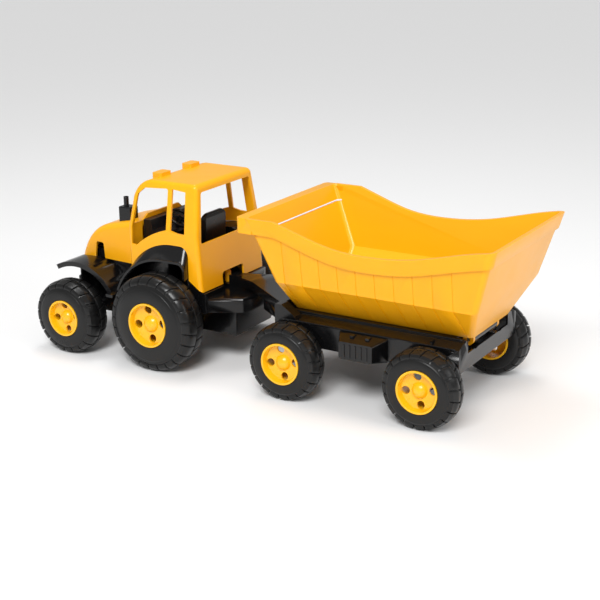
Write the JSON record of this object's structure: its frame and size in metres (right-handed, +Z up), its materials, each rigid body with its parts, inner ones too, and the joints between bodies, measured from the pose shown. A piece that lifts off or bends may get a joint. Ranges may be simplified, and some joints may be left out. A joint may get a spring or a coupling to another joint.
{
  "type": "toy tractor with tipping trailer",
  "caption": "Toy farm tractor with an open-window cab, spinning wheels and a hitched four-wheel trailer whose deep bed tips to the rear.",
  "frame": {"origin": "centre of the toy's length and width, on the ground under the tyres", "axes": "+X towards the tractor's nose, +Y to the tractor's left, +Z up"},
  "size_m": [0.702, 0.2516, 0.26],
  "materials": {
    "body_yellow": "gloss",
    "hub_yellow": "gloss",
    "chassis_black": "gloss",
    "matt_black": "satin",
    "tyre": "matte",
    "steel": "satin"
  },
  "bodies": {
    "tractor": {"cab_shell": "body_yellow", "tractor_chassis": "chassis_black", "engine_block": "matt_black", "grille": "matt_black", "headlamp_left": "chassis_black", "headlamp_right": "chassis_black", "bumper": "chassis_black", "exhaust_stack": "matt_black", "seat": "matt_black", "dashboard": "matt_black", "steering_column": "matt_black", "gear_lever": "matt_black", "body_screws": "steel"},
    "steering_wheel": {"steering_wheel": "matt_black"},
    "coupling_pin": {"coupling_pin": "body_yellow"},
    "trailer": {"trailer_chassis": "chassis_black", "toolbox_left": "chassis_black", "toolbox_right": "chassis_black"},
    "dump_bed": {"dump_bed": "body_yellow", "bed_hinge_rod": "steel"},
    "rear_wheels": {"rear_axle": "steel", "rear_tyre_left": "tyre", "rear_tyre_right": "tyre", "rear_hub_left": "hub_yellow", "rear_hub_right": "hub_yellow"},
    "front_wheels": {"front_axle": "steel", "front_tyre_left": "tyre", "front_tyre_right": "tyre", "front_hub_left": "hub_yellow", "front_hub_right": "hub_yellow"},
    "trailer_front_wheels": {"trailer_front_axle": "steel", "trailer_front_tyre_left": "tyre", "trailer_front_tyre_right": "tyre", "trailer_front_hub_left": "hub_yellow", "trailer_front_hub_right": "hub_yellow"},
    "trailer_rear_wheels": {"trailer_rear_axle": "steel", "trailer_rear_tyre_left": "tyre", "trailer_rear_tyre_right": "tyre", "trailer_rear_hub_left": "hub_yellow", "trailer_rear_hub_right": "hub_yellow"}
  },
  "joints": [
    {"name": "rear_axle_spin", "type": "hinge", "parent": "tractor", "child": "rear_wheels", "pos_m": [0.147, 0, 0.0675], "axis": [0, 1, 0], "continuous": true},
    {"name": "front_axle_spin", "type": "hinge", "parent": "tractor", "child": "front_wheels", "pos_m": [0.298, 0, 0.053], "axis": [0, 1, 0], "continuous": true},
    {"name": "steering_spin", "type": "hinge", "parent": "tractor", "child": "steering_wheel", "pos_m": [0.176, 0, 0.186], "axis": [-0.6, 0, 0.8], "continuous": true},
    {"name": "pin_lift", "type": "slide", "parent": "tractor", "child": "coupling_pin", "axis": [0, 0, 1], "range_m": [0, 0.025]},
    {"name": "trailer_swing", "type": "hinge", "parent": "tractor", "child": "trailer", "pos_m": [0.098, 0, 0.1], "axis": [0, 0, 1], "range_deg": [-40, 40]},
    {"name": "trailer_front_axle_spin", "type": "hinge", "parent": "trailer", "child": "trailer_front_wheels", "pos_m": [-0.0655, 0, 0.051], "axis": [0, 1, 0], "continuous": true},
    {"name": "trailer_rear_axle_spin", "type": "hinge", "parent": "trailer", "child": "trailer_rear_wheels", "pos_m": [-0.26, 0, 0.051], "axis": [0, 1, 0], "continuous": true},
    {"name": "bed_tip", "type": "hinge", "parent": "trailer", "child": "dump_bed", "pos_m": [-0.288, 0, 0.097], "axis": [0, -1, 0], "range_deg": [0, 50]}
  ]
}
